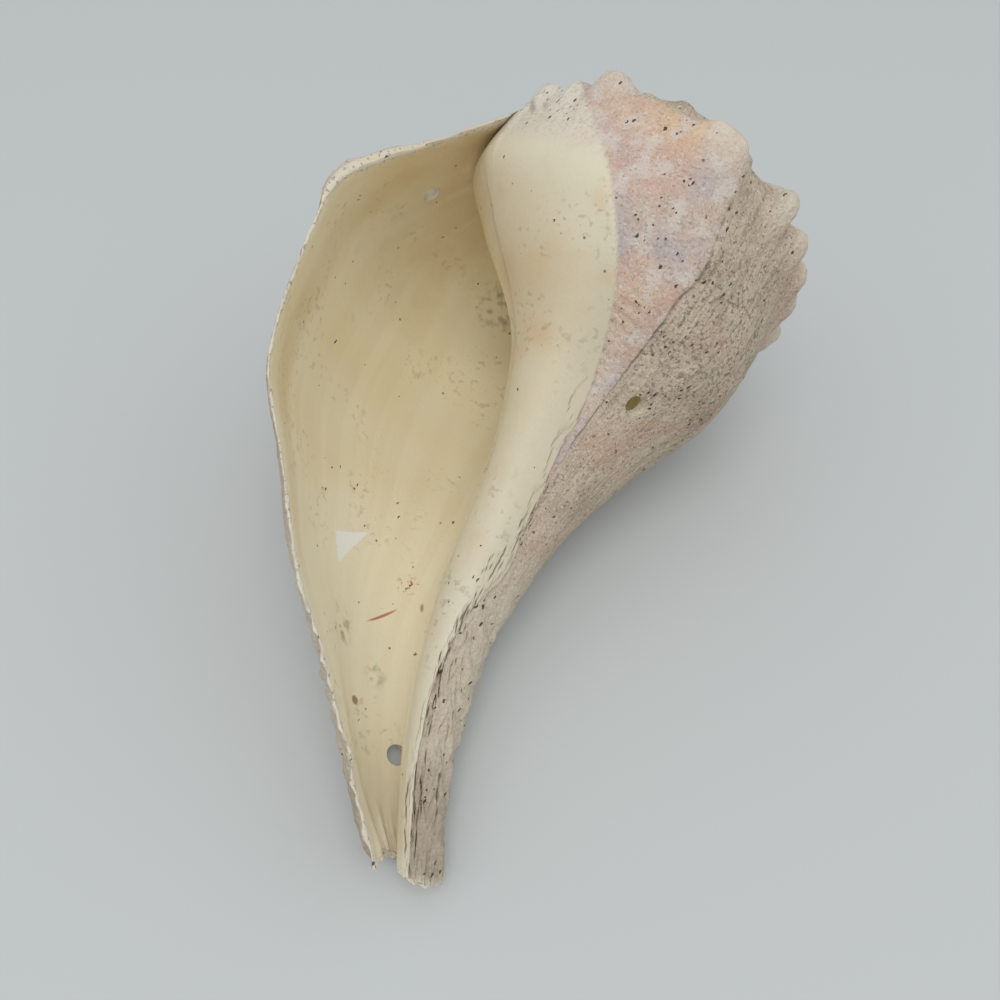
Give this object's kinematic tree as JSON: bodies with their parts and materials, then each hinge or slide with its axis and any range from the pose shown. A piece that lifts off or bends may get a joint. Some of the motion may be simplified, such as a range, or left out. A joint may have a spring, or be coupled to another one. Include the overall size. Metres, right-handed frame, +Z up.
{
  "type": "lightning whelk shell",
  "caption": "Large left-handed spiral sea shell lying with its wide opening up, knobbed on the shoulder and drawn out to a long canal.",
  "frame": {"origin": "middle of the underside's bounding box, on the surface the shell lies on", "axes": "+Z up as the shell lies with its opening up; the canal tip points towards -Y and the spire towards +Y; +X is the side away from the lip"},
  "size_m": [0.1648, 0.2374, 0.1341],
  "materials": {
    "shell": "weathered, matt and pitted calcium carbonate outside, smooth satin inside"
  },
  "bodies": {
    "root": {"shell": "shell"}
  },
  "joints": []
}
